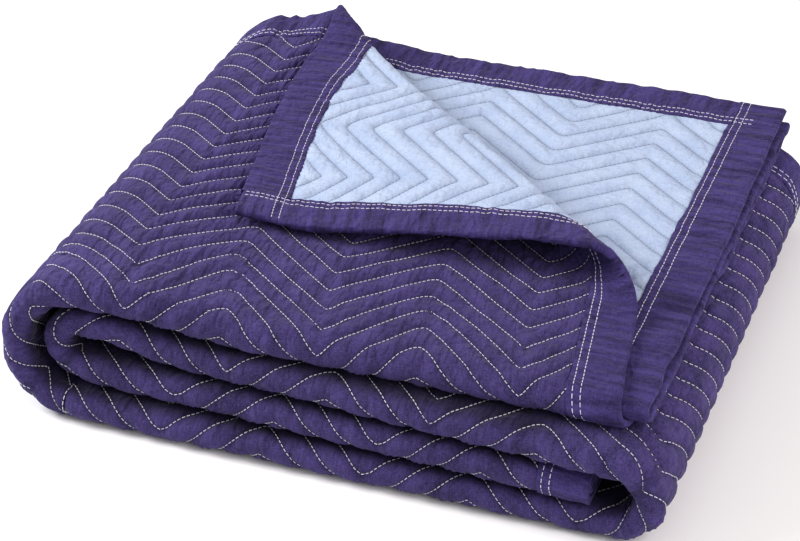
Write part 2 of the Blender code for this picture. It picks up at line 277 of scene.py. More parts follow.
# the quilting: zigzag seams that run along the blanket
quilt = dict(
    columns=dict(face=(0.083, 0.1695), lining=(0.0909, 0.1512)),  # first column, period
    swing=0.0305,            # half of a zigzag's height
    frontSwing=0.28,         # how much taller it is round the front folds
    frontSkew=0.056,         # how far its columns lean there
    leanFrom=0.37, leanOver=0.08,
    faceTo=0.6, changeOver=0.6,          # where the face's columns pass into the lining's
    loopShift=0.0136,        # how far its columns move along on the right loop
    spacing=dict(face=0.0222, front=0.0265, lining=0.0249),
    seamDepth=0.0019,
    floorShare=0.07,         # the flat bottom of a seam's valley
    crown=0.0010,            # how far a shown channel swells
    hiddenCrown=0.0004, liningCrown=0.0005,    # the lining's shown channels swell by both
    uneven=0.25,             # how much the channels differ in height
    bindingFade=0.010,
)
zigPhase = [0.0, 0.02, 0.465, 0.50, 0.54, 0.98, 1.0]
zigHeight = [1.0, 0.94, -0.91, -1.0, -0.92, 0.94, 1.0]

seamsA = 0.0053 + quilt["spacing"]["face"] * np.arange(-2, 20)
seamsA = np.concatenate([seamsA, seamsA[-1] + quilt["spacing"]["front"] * np.arange(1, 5)])
seamsB = 1.6544 + quilt["spacing"]["lining"] * np.arange(-9, 10)
seamsMid = np.linspace(seamsA[-1], seamsB[0], 39)[1:-1]
seamAt = np.concatenate([seamsA, seamsMid, seamsB])
seamIndex = np.arange(len(seamAt), dtype=float)


def zigzag(u, v):
    share = smooth((v - quilt["faceTo"]) / quilt["changeOver"])
    firstA, periodA = quilt["columns"]["face"]
    firstB, periodB = quilt["columns"]["lining"]
    front = smooth((v - quilt["leanFrom"]) / quilt["leanOver"])
    lean = quilt["frontSkew"] * front * u * (u < legU[2])
    onLoop = smooth((u - legU[2] - 0.1) / 0.25) * smooth((legU[4] + 0.25 - u) / 0.2)
    lean = lean - quilt["loopShift"] * onLoop * smooth((cross[1] - v) / 0.06)
    phase = (1 - share) * (u + lean - firstA) / periodA
    phase = phase + share * np.where(
        u < alongTop, (u - firstB) / periodB, (u - firstA) / periodA
    )
    taller = quilt["frontSwing"] * front * smooth((quilt["faceTo"] - v) / quilt["leanOver"])
    return quilt["swing"] * (1 + taller) * np.interp(phase % 1.0, zigPhase, zigHeight)


# 0 on a seam, 1 halfway between two
def betweenSeams(u, v):
    index = np.interp(v - zigzag(u, v), seamAt, seamIndex)
    return 2 * np.abs(index - np.round(index))


def inwardOf(u, v):
    return np.minimum(np.minimum(u, along - u), np.minimum(v, across - v))


# seeded soft noise on a lattice of the given cell size, from -1 to 1
def softNoise(u, v, cellU, cellV, seed):
    table = np.random.default_rng(seed).uniform(-1, 1, (64, 64))
    a, b = u / cellU + 200.0, v / cellV + 200.0
    i, j = np.floor(a).astype(int), np.floor(b).astype(int)
    fa, fb = smooth(a - i), smooth(b - j)
    i0, i1, j0, j1 = i % 64, (i + 1) % 64, j % 64, (j + 1) % 64
    low = table[i0, j0] * (1 - fa) + table[i1, j0] * fa
    high = table[i0, j1] * (1 - fa) + table[i1, j1] * fa
    return low * (1 - fb) + high * fb


# 1 where the turned-back corner lies over the top layer
def coveredShare(u, v):
    x, y = flatTop(u, v)
    nx, ny = flap["creaseN"]
    beyond, radius, _ = creasePlace(x, y)
    far = math.pi * radius - 2 * beyond
    overU, overV = flatOf(x + far * nx, y + far * ny)
    inside = smooth(np.minimum(overU, overV) / 0.02 + 1.0)
    return np.where((u < alongTop) & (v < runA), inside * smooth(1 - beyond / 0.01), 0.0)


def beyondCrease(u, v):
    x, y = flatTop(u, v)
    beyond, radius, _ = creasePlace(x, y)
    return np.where((u < alongTop) & (v < runA), beyond / (math.pi * radius), -1.0)


# 1 on the outermost layer where nothing lies on it: the top, both side loops
def openShare(u, v):
    onA = smooth((cross[1] + 0.012 - v) / 0.012)
    top = smooth((legU[2] - u) / 0.02) * (1 - coveredShare(u, v))
    loop = smooth((u - legU[3]) / 0.02) * smooth((legU[4] - u) / 0.02)
    return onA * np.maximum(top, loop) * (beyondCrease(u, v) < 0.5)


def tightShare(v, start, end):
    return smooth((v - start) / 0.006 + 1) * smooth((end - v) / 0.006 + 1)


# single sharp folds: u, v, lean, half length, width and depth
pinches = [(0.451, 0.020, -0.10, 0.045, 0.0030, 0.0019),
           (1.136, 0.467, 0.60, 0.024, 0.0026, 0.0019)]


def pinchOf(u, v):
    total = 0.0 * u
    for atU, atV, lean, reach, width, depth in pinches:
        off = (u - atU - lean * (v - atV)) / width
        shape = 0.7 * np.exp(-(np.abs(off) - 1.9) ** 2) - np.exp(-off ** 2)
        total = total + depth * shape * smooth(1.3 * (1 - np.abs(v - atV) / reach))
    return total


waves = dict(top=0.0026, front=0.0006, frontPucker=0.0012, loopPucker=0.0012, edgeFade=0.05)


# long soft waves that face, lining, binding and stitches share
def waveOf(u, v):
    lie = 0.5 + 0.5 * softNoise(u, v, 0.055, 0.038, 11)
    lie = lie + 0.25 * softNoise(u, v, 0.021, 0.027, 12)
    openTop = openShare(u, v) * smooth((legU[1] - u) / 0.05)
    fronts = smooth((v - cross[1]) / 0.01) * smooth((cross[2] - v) / 0.01)
    frontWave = softNoise(u, v, 0.030, 0.05, 13) * waves["front"]
    frontWave = frontWave - np.abs(softNoise(u, v, 0.011, 0.045, 14)) * waves["frontPucker"]
    loops = sum(smooth((u - legU[n]) / 0.02 + 0.5) * smooth((legU[n + 1] - u) / 0.02 + 0.5)
                for n in (1, 5))
    nearFront = smooth((v - cross[1]) / 0.02 + 1.5) * smooth((cross[2] - v) / 0.01 + 1)
    puckers = np.abs(softNoise(u, v, 0.0075, 0.035, 15))
    loopWave = -puckers * waves["loopPucker"] * loops * nearFront
    soft = waves["top"] * lie * openTop * smooth(inwardOf(u, v) / waves["edgeFade"])
    return soft + frontWave * fronts + loopWave + pinchOf(u, v)


def clothHalf(u, v):
    share = smooth((inwardOf(u, v) - fold["bindingWidth"]) / fold["pressRamp"])
    return fold["pressedHalf"] + share * (fold["clothHalf"] - fold["pressedHalf"])


def reliefOf(u, v, crown):
    between = np.clip((betweenSeams(u, v) - quilt["floorShare"]) / (1 - quilt["floorShare"]), 0, 1)
    puff = (1 - (1 - between) ** 2) ** 0.75
    uneven = 1 + quilt["uneven"] * softNoise(u, v, 0.017, 0.014, 21)
    fade = smooth((inwardOf(u, v) - fold["bindingWidth"]) / quilt["bindingFade"])
    depth = quilt["seamDepth"]
    return fade * (-depth + (depth + crown) * puff * uneven)


def faceHeight(u, v):
    shown = openShare(u, v)
    crown = quilt["hiddenCrown"] + shown * (quilt["crown"] - quilt["hiddenCrown"])
    inside = tightShare(v, cross[5], cross[6])
    return clothHalf(u, v) + (1 - inside) * reliefOf(u, v, crown)


def liningHeight(u, v):
    shown = np.maximum(beyondCrease(u, v) > 0.5, (v > cross[6] + 0.1) & (u < alongTop))
    crown = quilt["hiddenCrown"] + shown * quilt["liningCrown"]
    inside = tightShare(v, cross[3], cross[4])
    return -clothHalf(u, v) - (1 - inside) * reliefOf(u, v, crown)


# cloth meshes: fine where they show, coarse inside the pile
grid = dict(
    parts=8, edge=0.0018, columnsPerPeriod=7,
    nearFold={1: 0.040, 3: 0.013, 5: 0.008},    # the front, back and inner folds' own reach
)
rowShares = np.array([0.0, 0.04, 0.13, 0.30, 0.5, 0.70, 0.87, 0.96, 1.0])


def columnStops():
    first, period = quilt["columns"]["face"]
    step = period / grid["columnsPerPeriod"]
    start = first % step
    stops = np.arange(start, along, step)
    width = fold["bindingWidth"]
    stops = stops[(stops > width + 0.006) & (stops < along - width - 0.006)]
    ends = [grid["edge"], 0.020, width - 0.0005]
    return np.concatenate([ends, stops, [along - stop for stop in ends[::-1]]])


def rowStops():
    fades = np.linspace(seamsA[-1], cross[3] - 0.012, 17)[1:]
    backFold = [cross[3], cross[4], cross[4] + 0.012]
    inside = np.linspace(cross[4] + 0.012, cross[5] - 0.006, 16)[1:]
    innerFold = [cross[5] + 0.002, cross[6] - 0.002, cross[6] + 0.006, cross[6] + 0.03]
    return np.concatenate([
        [seamsA[0] - 0.02], seamsA, fades, backFold, inside, innerFold, seamsB,
        [seamsB[-1] + 0.02],
    ])


# rows follow the seams, except round the two tight folds, and are gathered at the edges
def rowPlace(w, u):
    follow = np.maximum(
        smooth((cross[3] - 0.03 - w) / 0.28), smooth((w - cross[6] - 0.02) / 0.10)
    )
    v = w + follow * zigzag(u, w)
    width, edge = fold["bindingWidth"], grid["edge"]
    room = width - edge
    v = np.where(v < width, edge + room * np.exp((np.minimum(v, width) - width) / room), v)
    back = across - v
    gathered = edge + room * np.exp((np.minimum(back, width) - width) / room)
    return np.where(back < width, across - gathered, v)


# flat cells of one cloth as points (u, v) and polygons, each cell split as levelAt says
def layOut(levelAt):
    cols, rows, parts = columnStops(), rowStops(), grid["parts"]
    fineU = np.interp(np.arange(parts * (len(cols) - 1) + 1) / parts,
                      np.arange(len(cols)), cols)
    place = np.arange(parts * (len(rows) - 1) + 1)
    whole = np.minimum(place // parts, len(rows) - 2)
    fineW = rows[whole] + rowShares[place - whole * parts] * (rows[whole + 1] - rows[whole])
    used = np.zeros((len(fineU), len(fineW)), bool)
    levels = {}
    for i in range(len(cols) - 1):
        for j in range(len(rows) - 1):
            u, w = (cols[i] + cols[i + 1]) / 2, (rows[j] + rows[j + 1]) / 2
            stepU, stepW = levels[i, j] = levelAt(u, w)
            used[parts * i:parts * i + parts + 1:stepU,
                 parts * j:parts * j + parts + 1:stepW] = True
    number = np.full(used.shape, -1)
    number[used] = np.arange(used.sum())
    faces = []
    for (i, j), (stepU, stepW) in levels.items():
        for i0 in range(parts * i, parts * (i + 1), stepU):
            for j0 in range(parts * j, parts * (j + 1), stepW):
                i1, j1 = i0 + stepU, j0 + stepW
                ring = list(number[i0:i1, j0]) + list(number[i1, j0:j1])
                ring += list(number[i1:i0:-1, j1]) + list(number[i0, j1:j0:-1])
                faces.append([int(n) for n in ring if n >= 0])
    atU, atW = np.nonzero(used)
    u = fineU[atU]
    v = rowPlace(fineW[atW], u)
    v = np.where(atW == 0, grid["edge"], v)
    v = np.where(atW == len(fineW) - 1, across - grid["edge"], v)
    return u, v, faces


def inLoop(u):
    return any(legU[n] - 0.02 < u < legU[n + 1] + 0.02 for n in (1, 3, 5))


def nearFold(w, n):
    reach = grid["nearFold"][n]
    return cross[n] - reach < w < cross[n + 1] + reach


# in how large steps a cell is split, along and across: 1 is the finest
def faceLevel(u, w):
    if nearFold(w, 1):
        return (1, 1)
    if w < cross[1]:
        if u < legU[2] + 0.01 or legU[3] - 0.02 < u < legU[4] + 0.02:
            under = u < 0.25 and beyondCrease(np.array([u]), np.array([max(w, 0)]))[0] > 1.5
            return (2, 2) if under else (1, 1)
        return (4, 2) if u < legU[3] else (4, 4)
    if nearFold(w, 3):
        return (2, 1)
    if nearFold(w, 5):
        return (4, 1)
    if legU[5] < u < legU[6] and w < cross[2] + 0.15:
        return (2, 2)
    return (2, 4) if inLoop(u) else (8, 4)


def liningLevel(u, w):
    if w < cross[1]:
        turned = beyondCrease(np.array([u]), np.array([max(w, 0.0)]))[0]
        if u < alongTop and turned > -1.0:
            return (1, 1)
    if w > cross[6] + 0.09 and u < alongTop:
        return (1, 1)
    if any(nearFold(w, n) for n in grid["nearFold"]):
        return (4, 1)
    return (2, 4) if inLoop(u) else (8, 4)


def newPiece(name, places, faces, material):
    mesh = bpy.data.meshes.new(name)
    mesh.from_pydata(places.tolist(), [], faces)
    mesh.polygons.foreach_set("use_smooth", [True] * len(mesh.polygons))
    mesh.materials.append(material)
    piece = bpy.data.objects.new(name, mesh)
    bpy.context.scene.collection.objects.link(piece)
    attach(piece, "root")
    return piece


# the flat place of every corner, so that a weave follows the cloth
def addFlatMap(piece, u, v):
    mesh = piece.data
    corner = np.empty(len(mesh.loops), int)
    mesh.loops.foreach_get("vertex_index", corner)
    layer = mesh.uv_layers.new(name="flat")
    layer.data.foreach_set("uv", np.stack([u[corner], v[corner]], axis=1).ravel())


def addValue(piece, name, values):
    layer = piece.data.attributes.new(name, "FLOAT", "POINT")
    layer.data.foreach_set("value", values.astype(np.float32))


# painted shade: crease and reach for the foot of the crease's roll, seamWidth for the seams'
# valleys, darkest for its deepest colour
shade = dict(crease=0.55, reach=0.040, seamWidth=0.16, darkest=0.25)


# 1 in the slits between the front folds, where shade is painted on
def tuckedShare(u, v):
    covered = smooth((u - legU[4] - 0.02) / 0.06) + (u > legU[2]) * (u < legU[3])
    above = smooth((cross[1] + 0.010 - v) / 0.012) * (v > 0.3) * covered
    below = smooth((v - cross[2] + 0.009) / 0.010) * (v < 0.62)
    return np.maximum(above, below)


# how far a point of the layer below lies beyond the crease, and the roll's radius there
def beyondAbove(u, v):
    x, y = curveX[0] - alongCurve(u, v), section(v)[0] + fold["frontY"]
    return creasePlace(x, y)[:2]


# painted shade on the layer below, along the foot of the turned-back corner's roll
def foldShade(u, v):
    beyond, radius = beyondAbove(u, v)
    reach = np.clip(1 - (beyond - 0.7 * radius) / shade["reach"], 0, 1)
    near = reach ** 1.5 * (beyond > 0)
    return shade["crease"] * near * (v > cross[6]) * (u < alongTop)


# a side that faces another layer stands out no further than half the way to it
def heldBack(u, v, h):
    outside = (h > 0) & (v < cross[2]) & (u < legU[4] + 0.02)
    turned = (v < cross[1]) & (beyondCrease(u, v) > 0.1)
    bare = (v > cross[6]) & (u < alongTop) & (beyondAbove(u, v)[0] > 0) & (h < 0)
    room = np.where(outside | turned | bare, 1.0, fold["halfWay"])
    return np.clip(h, -room, room)


def clothPiece(name, height, level, flipped, material):
    u, v, faces = layOut(level)
    h = height(u, v) + waveOf(u, v)
    places = folded(u, v, heldBack(u, v, h) if flipped else h)
    if flipped:
        faces = [ring[::-1] for ring in faces]
    piece = newPiece(name, places, faces, material)
    addFlatMap(piece, u, v)
    # painted shade along each seam's valley
    addValue(piece, "seam", np.exp(-betweenSeams(u, v) / shade["seamWidth"]))
    # painted shade in the slits between the front folds and at the foot of the crease's roll
    addValue(piece, "paintedShade", np.maximum(tuckedShare(u, v), foldShade(u, v)))
    print(name, len(piece.data.vertices), "points")
    return piece


# dark and light are the two ends of the thread colour, worn the size of its soft streaks
looks = dict(
    face=dict(
        dark=(0.016, 0.012, 0.048), light=(0.073, 0.050, 0.198), fleck=0.36,
        worn=(0.014, 0.050), wornShare=0.9, seamShade=0.36, wrinkle=0.0038,
        roughness=0.92, sheen=0.07, sheenTint=(0.62, 0.58, 0.85),
        wrinkles=[(0.014, 0.045, 1.0), (0.026, 0.020, 0.9), (0.006, 0.014, 0.12)],
    ),
    lining=dict(
        dark=(0.32, 0.40, 0.58), light=(0.48, 0.56, 0.72), fleck=0.35,
        worn=(0.035, 0.035), wornShare=0.9, seamShade=0.70, wrinkle=0.0016,
        roughness=0.90, sheen=0.05, sheenTint=(0.9, 0.93, 1.0),
        wrinkles=[(0.016, 0.020, 1.0), (0.030, 0.012, 0.7)],
    ),
    binding=dict(
        dark=(0.016, 0.010, 0.052), light=(0.056, 0.039, 0.172), fleck=0.36,
        worn=(0.007, 0.060), wornShare=1.8, seamShade=1.0, wrinkle=0.0030,
        roughness=0.86, sheen=0.06, sheenTint=(0.6, 0.55, 0.8),
        wrinkles=[(0.012, 0.030, 1.0), (0.030, 0.014, 0.6)],
    ),
    whiteThread=(0.74, 0.73, 0.84),
    paleThread=(0.25, 0.30, 0.43),
)


def newMaterial(name, roughness):
    material = bpy.data.materials.new(name)
    material.use_nodes = True
    shader = material.node_tree.nodes["Principled BSDF"]
    shader.inputs["Roughness"].default_value = roughness
    shader.inputs["Metallic"].default_value = 0.0
    return material, material.node_tree, shader


def addNode(tree, kind, **values):
    node = tree.nodes.new(kind)
    for key, value in values.items():
        if key in node.inputs:
            node.inputs[key].default_value = value
        else:
            setattr(node, key, value)
    return node


# noise in the flat cloth's own metres, with a cell size along each side
def clothNoise(tree, place, cellU, cellV, detail=2.0):
    scaled = addNode(tree, "ShaderNodeMapping")
    scaled.inputs["Scale"].default_value = (1 / cellU, 1 / cellV, 1.0)
    tree.links.new(place.outputs["UV"], scaled.inputs["Vector"])
    noise = addNode(tree, "ShaderNodeTexNoise", Scale=1.0, Detail=detail, Roughness=0.55)
    tree.links.new(scaled.outputs["Vector"], noise.inputs["Vector"])
    return noise.outputs["Fac"]


def mixed(tree, kind, a, b, factor=None, share=0.5):
    node = tree.nodes.new("ShaderNodeMix")
    node.data_type = "RGBA"
    node.blend_type = kind
    node.inputs["Factor"].default_value = share
    if factor is not None:
        tree.links.new(factor, node.inputs["Factor"])
    for socket, value in ((node.inputs[6], a), (node.inputs[7], b)):
        if isinstance(value, tuple):
            socket.default_value = (*value, 1.0)
        else:
            tree.links.new(value, socket)
    return node.outputs[2]


def sharpened(tree, value, low, high):
    node = addNode(tree, "ShaderNodeMapRange")
    node.inputs["From Min"].default_value = low
    node.inputs["From Max"].default_value = high
    tree.links.new(value, node.inputs["Value"])
    return node.outputs["Result"]


def summed(tree, first, second, weight):
    node = addNode(tree, "ShaderNodeMath", operation="MULTIPLY_ADD")
    tree.links.new(second, node.inputs[0])
    node.inputs[1].default_value = weight
    tree.links.new(first, node.inputs[2])
    return node.outputs[0]


# soft noise as creases: 0 along sharp lines, rising to both sides
def creased(tree, value):
    centred = addNode(tree, "ShaderNodeMath", operation="MULTIPLY_ADD")
    tree.links.new(value, centred.inputs[0])
    centred.inputs[1].default_value, centred.inputs[2].default_value = 4.0, -2.0
    ridge = addNode(tree, "ShaderNodeMath", operation="ABSOLUTE")
    tree.links.new(centred.outputs[0], ridge.inputs[0])
    return ridge.outputs[0]


def clothMaterial(name, look):
    material, tree, shader = newMaterial(name, look["roughness"])
    shader.inputs["Sheen Weight"].default_value = look["sheen"]
    shader.inputs["Sheen Roughness"].default_value = 0.5
    shader.inputs["Sheen Tint"].default_value = (*look["sheenTint"], 1.0)
    shader.inputs["Specular IOR Level"].default_value = 0.2
    place = addNode(tree, "ShaderNodeUVMap", uv_map="flat")
    warp = clothNoise(tree, place, 0.0050, 0.0006)
    weft = clothNoise(tree, place, 0.0006, 0.0050)
    fleck = clothNoise(tree, place, 0.0011, 0.0011, 3.0)
    worn = clothNoise(tree, place, *look["worn"], 3.0)
    threads = summed(tree, warp, weft, 1.0)
    tone = summed(tree, summed(tree, threads, fleck, 0.8), worn, look["wornShare"])
    middle = 1.4 + look["wornShare"] / 2
    share = sharpened(tree, tone, middle - look["fleck"], middle + look["fleck"])
    colour = mixed(tree, "MIX", look["dark"], look["light"], factor=share)
    # the binding, with seamShade 1, gets no painted shade
    if look["seamShade"] < 1:
        # painted shade in each seam's valley
        seam = addNode(tree, "ShaderNodeAttribute", attribute_name="seam")
        shaded = mixed(tree, "MULTIPLY", colour, (look["seamShade"],) * 3, share=1.0)
        colour = mixed(tree, "MIX", colour, shaded, factor=seam.outputs["Fac"])
        # painted shade in the slits between the front folds and at the foot of the crease's roll
        paintedShade = addNode(tree, "ShaderNodeAttribute", attribute_name="paintedShade")
        shaded = mixed(tree, "MULTIPLY", colour, (shade["darkest"],) * 3, share=1.0)
        colour = mixed(tree, "MIX", colour, shaded, factor=paintedShade.outputs["Fac"])
    tree.links.new(colour, shader.inputs["Base Color"])
    folds = None
    for cellU, cellV, weight in look["wrinkles"]:
        creases = creased(tree, clothNoise(tree, place, cellU, cellV, 2.0))
        folds = creases if folds is None else summed(tree, folds, creases, weight)
    rough = addNode(tree, "ShaderNodeBump", Strength=0.8, Distance=look["wrinkle"])
    tree.links.new(folds, rough.inputs["Height"])
    weave = addNode(tree, "ShaderNodeBump", Strength=0.5, Distance=0.00018)
    tree.links.new(threads, weave.inputs["Height"])
    tree.links.new(rough.outputs["Normal"], weave.inputs["Normal"])
    tree.links.new(weave.outputs["Normal"], shader.inputs["Normal"])
    return material


def threadMaterial(name, colour):
    material, tree, shader = newMaterial(name, 0.7)
    place = addNode(tree, "ShaderNodeTexCoord")
    noise = addNode(tree, "ShaderNodeTexNoise", Scale=900.0, Detail=1.0)
    tree.links.new(place.outputs["Object"], noise.inputs["Vector"])
    duller = tuple(0.72 * part for part in colour)
    tree.links.new(mixed(tree, "MIX", duller, colour, factor=noise.outputs["Fac"]),
                   shader.inputs["Base Color"])
    bump = addNode(tree, "ShaderNodeBump", Strength=0.5, Distance=0.0002)
    tree.links.new(noise.outputs["Fac"], bump.inputs["Height"])
    tree.links.new(bump.outputs["Normal"], shader.inputs["Normal"])
    return material


faceCloth = clothMaterial("faceCloth", looks["face"])
liningCloth = clothMaterial("liningCloth", looks["lining"])
bindingTape = clothMaterial("bindingTape", looks["binding"])
whiteThread = threadMaterial("whiteThread", looks["whiteThread"])
paleThread = threadMaterial("paleThread", looks["paleThread"])
print("materials made")


# a stitch is one bead of thread, pitch is from one to the next
stitch = dict(
    pitch=0.0039, bindingPitch=0.0042,
    share=0.85,              # of the pitch that shows as thread
    halfWidth=0.00039, rise=0.00026, sunk=0.0002, endSunk=0.0004,
    search=0.0014,           # how far off its line the cloth may lie
    pathStep=0.0012,
    bindingRows=(0.0038, 0.0100),
)


def surfaceOf(piece):
    mesh = piece.data
    return BVHTree.FromPolygons(
        [corner.co for corner in mesh.vertices], [list(face.vertices) for face in mesh.polygons]
    )


# each place moved along its normal on to the real surface, where that is near
def broughtOn(surface, places, normals):
    for n, (place, normal) in enumerate(zip(places, normals)):
        way = Vector(normal)
        found = surface.ray_cast(Vector(place) + stitch["search"] * way, -way,
                                 2 * stitch["search"])[0]
        if found is not None:
            places[n] = found
    return places


# one small thread bead for each stitch between the flat points of a path
def stitchBeads(u, v, height, pitch, side, surface):
    step = np.hypot(np.diff(u), np.diff(v))
    run = np.concatenate([[0.0], np.cumsum(step)])
    count = int(run[-1] / pitch)
    if count < 1:
        return np.zeros((0, 10, 3))
    starts = np.arange(count) * pitch + 0.3 * pitch
    ends = []
    for part in (0.0, 0.16, 0.84, 1.0):
        at = starts + part * stitch["share"] * pitch
        ends.append((np.interp(at, run, u), np.interp(at, run, v)))
    places, normals = [], []
    for atU, atV in ends:
        h = height(atU, atV) + waveOf(atU, atV)
        here = folded(atU, atV, h)
        ahead = folded(atU, atV, h + side * 0.0005) - here
        ahead = ahead / np.maximum(np.linalg.norm(ahead, axis=1), 1e-9)[:, None]
        places.append(broughtOn(surface, here, ahead))
        normals.append(ahead)
    heading = places[3] - places[0]
    heading /= np.maximum(np.linalg.norm(heading, axis=1), 1e-9)[:, None]
    beads = [places[0] - stitch["endSunk"] * normals[0]]
    for k in (1, 2):
        sideways = np.cross(heading, normals[k]) * stitch["halfWidth"]
        top, low = stitch["rise"] * 2 * normals[k], -stitch["sunk"] * normals[k]
        beads += [places[k] + sideways, places[k] + top, places[k] - sideways,
                  places[k] + low]
    beads.append(places[3] - stitch["endSunk"] * normals[3])
    beads = np.stack(beads, axis=1)
    beads[:, :, 2] = np.maximum(beads[:, :, 2], 0.0)
    return beads


# a bead's corners: its start, two rings of four, its end
beadFaces = [[0, 2, 1], [0, 3, 2], [0, 4, 3], [0, 1, 4],
             [1, 2, 6, 5], [2, 3, 7, 6], [3, 4, 8, 7], [4, 1, 5, 8],
             [9, 5, 6], [9, 6, 7], [9, 7, 8], [9, 8, 5]]


def stitchPiece(name, beads, material):
    beads = np.concatenate([part for part in beads if len(part)])
    faces = [[10 * n + k for k in ring] for n in range(len(beads)) for ring in beadFaces]
    piece = newPiece(name, beads.reshape(-1, 3), faces, material)
    bm = bmesh.new()
    bm.from_mesh(piece.data)
    bmesh.ops.recalc_face_normals(bm, faces=bm.faces[:])
    bm.to_mesh(piece.data)
    bm.free()
    print(name, len(beads), "stitches")
    return piece


# the stretches of a seam where keep is true
def stretches(keep):
    edges = np.flatnonzero(np.diff(np.concatenate([[0], keep.astype(int), [0]])))
    return zip(edges[::2], edges[1::2])


def seamBeads(shown, height, side, surface):
    margin = fold["bindingWidth"] - 0.001
    u = np.arange(margin, along - margin, stitch["pathStep"])
    beads = []
    for w in seamAt:
        v = np.full(len(u), w)
        for _ in range(3):
            v = w + zigzag(u, v)
        inside = (v > margin) & (v < across - margin)
        v = np.clip(v, 0, across)
        for start, end in stretches(inside & shown(u, v)):
            if end - start > 4:
                beads.append(stitchBeads(
                    u[start:end], v[start:end], height, stitch["pitch"], side, surface
                ))
    return beads


def faceSeamShown(u, v):
    front = (v > cross[1] - 0.034) & (v < cross[2] + 0.034)
    back = (v > cross[3] - 0.008) & (v < cross[4] + 0.008)
    onA = v < cross[1]
    top = onA & (u < legU[3]) & (beyondCrease(u, v) < 0.6)
    loop = onA & (u > legU[3] - 0.01) & (u < legU[4] + 0.03)
    hollow = (u > legU[5] - 0.03) & (u < legU[6] + 0.06) & (v > cross[2]) & (v < cross[2] + 0.09)
    return front | back | top | loop | hollow


def liningSeamShown(u, v):
    turned = (beyondCrease(u, v) > 0.2) & (v < cross[1])
    under = (v > cross[6] + 0.09) & (u < alongTop - 0.05)
    return turned | under


# a binding strip is wrapped round the edge and sewn through with two rows
binding = dict(
    half=0.00285, lip=0.0019,
    dip=0.00035, dipWidth=0.0007,    # the groove that a row of stitches pulls in
    pucker=0.00085, wobble=0.0010, noseWave=0.0032,
    stepAlong=0.0030, endRound=0.0028,
    seeds=dict(outerEnd=31, innerEnd=41, topSide=51, underSide=61),
)


# the folded tape's section: distance in from the edge, and height, face side first
def tapeSection():
    width, half = fold["bindingWidth"], binding["half"]
    rows = [width - row for row in stitch["bindingRows"]]
    ins = [width + 0.0004, width + 0.0001, width - 0.0006]
    for row in rows:
        ins += [row + 0.0016, row + 0.0006, row, row - 0.0006, row - 0.0016]
    ins += list(np.linspace(rows[-1] - 0.005, 0.0060, 7))
    nose = np.linspace(0, math.pi / 2, 6)
    face = [(spot, half) for spot in ins]
    face[0] = (ins[0], binding["lip"])
    face[1] = (ins[1], half - 0.0003)
    face += [(half * (1 - math.sin(turn)), half * math.cos(turn)) for turn in nose]
    under = [(spot, -height) for spot, height in face[-2::-1]]
    return np.array(face + under)


def tapeHeight(inward, height, length, seed):
    dip = np.zeros_like(inward)
    for row in stitch["bindingRows"]:
        away = inward - (fold["bindingWidth"] - row)
        dip = dip + binding["dip"] * np.exp(-(away / binding["dipWidth"]) ** 2)
    full = np.abs(height) / binding["half"]
    gathers = 1 - 2 * np.abs(softNoise(length, inward, 0.0105, 0.034, seed))
    gathers = gathers + 0.6 * softNoise(length, inward, 0.0060, 0.020, seed + 1)
    return height + np.sign(height) * full * (binding["pucker"] * gathers - dip)


def tapePiece(name, kind, low, high, closed, material):
    seed = binding["seeds"][kind]
    count = int((high - low) / binding["stepAlong"])
    length = np.linspace(low, high, count + 1)
    if closed:
        rounding = binding["endRound"] * np.array([0.0, 0.15, 0.5])
        length = np.concatenate([low + rounding, length[1:-1], high - rounding[::-1]])
    shape = tapeSection()
    lengths = np.repeat(length, len(shape))
    inward = np.tile(shape[:, 0], len(length))
    height = tapeHeight(inward, np.tile(shape[:, 1], len(length)), lengths, seed)
    edgeWave = binding["wobble"] * softNoise(lengths, 0 * lengths, 0.018, 1.0, seed + 2)
    noseWave = softNoise(lengths, 0 * lengths + 0.5, 0.026, 1.0, seed + 3)
    noseWave = -binding["noseWave"] * (0.5 + 0.5 * noseWave)
    innerShare = smooth((inward - 0.024) / 0.012)
    inward = inward + edgeWave * innerShare + noseWave * (1 - innerShare)
    if closed:
        end = np.minimum(lengths - low, high - lengths) / binding["endRound"]
        height = height * np.sqrt(1 - (1 - np.clip(end, 0.02, 1.0)) ** 2)
    if kind == "outerEnd":
        u, v = inward, lengths
    elif kind == "innerEnd":
        u, v = along - inward, lengths
    elif kind == "topSide":
        u, v = lengths, inward
    else:
        u, v = lengths, across - inward
    places = folded(u, v, heldBack(u, v, height + waveOf(u, v)))
    wide = len(shape)
    faces = []
    for i in range(len(length) - 1):
        for j in range(wide - 1):
            a = i * wide + j
            faces.append([a, a + 1, a + wide + 1, a + wide])
    piece = newPiece(name, places, faces, material)
    # the flat map holds the length along the strip and the width round it, moved by the seed
    around = np.concatenate([[0], np.cumsum(np.hypot(*np.diff(shape, axis=0).T))])
    addFlatMap(piece, lengths, np.tile(around, len(length)) + seed)
    return piece


def tapeBeads(kind, low, high, surface):
    seeds = binding["seeds"]
    seed = seeds[kind]
    beads = []
    span = np.arange(low, high, stitch["pathStep"])
    for row in stitch["bindingRows"]:
        inward = fold["bindingWidth"] - row
        for side in (1, -1):
            def height(u, v, side=side, inward=inward):
                full = side * binding["half"] + 0 * u
                if kind in ("outerEnd", "innerEnd"):
                    return tapeHeight(0 * v + inward, full, v, seed)
                own = tapeHeight(0 * u + inward, full, u, seed)
                # over the corners the end strip carries the rows
                width = fold["bindingWidth"]
                outer = tapeHeight(u, full, v, seeds["outerEnd"])
                inner = tapeHeight(along - u, full, v, seeds["innerEnd"])
                return np.where(u > along - width, inner, np.where(u < width, outer, own))
            fixed = np.full(len(span), inward)
            u, v = {
                "outerEnd": (fixed, span), "innerEnd": (along - fixed, span),
                "topSide": (span, fixed), "underSide": (span, across - fixed),
            }[kind]
            beads.append(stitchBeads(u, v, height, stitch["bindingPitch"], side, surface))
    return beads


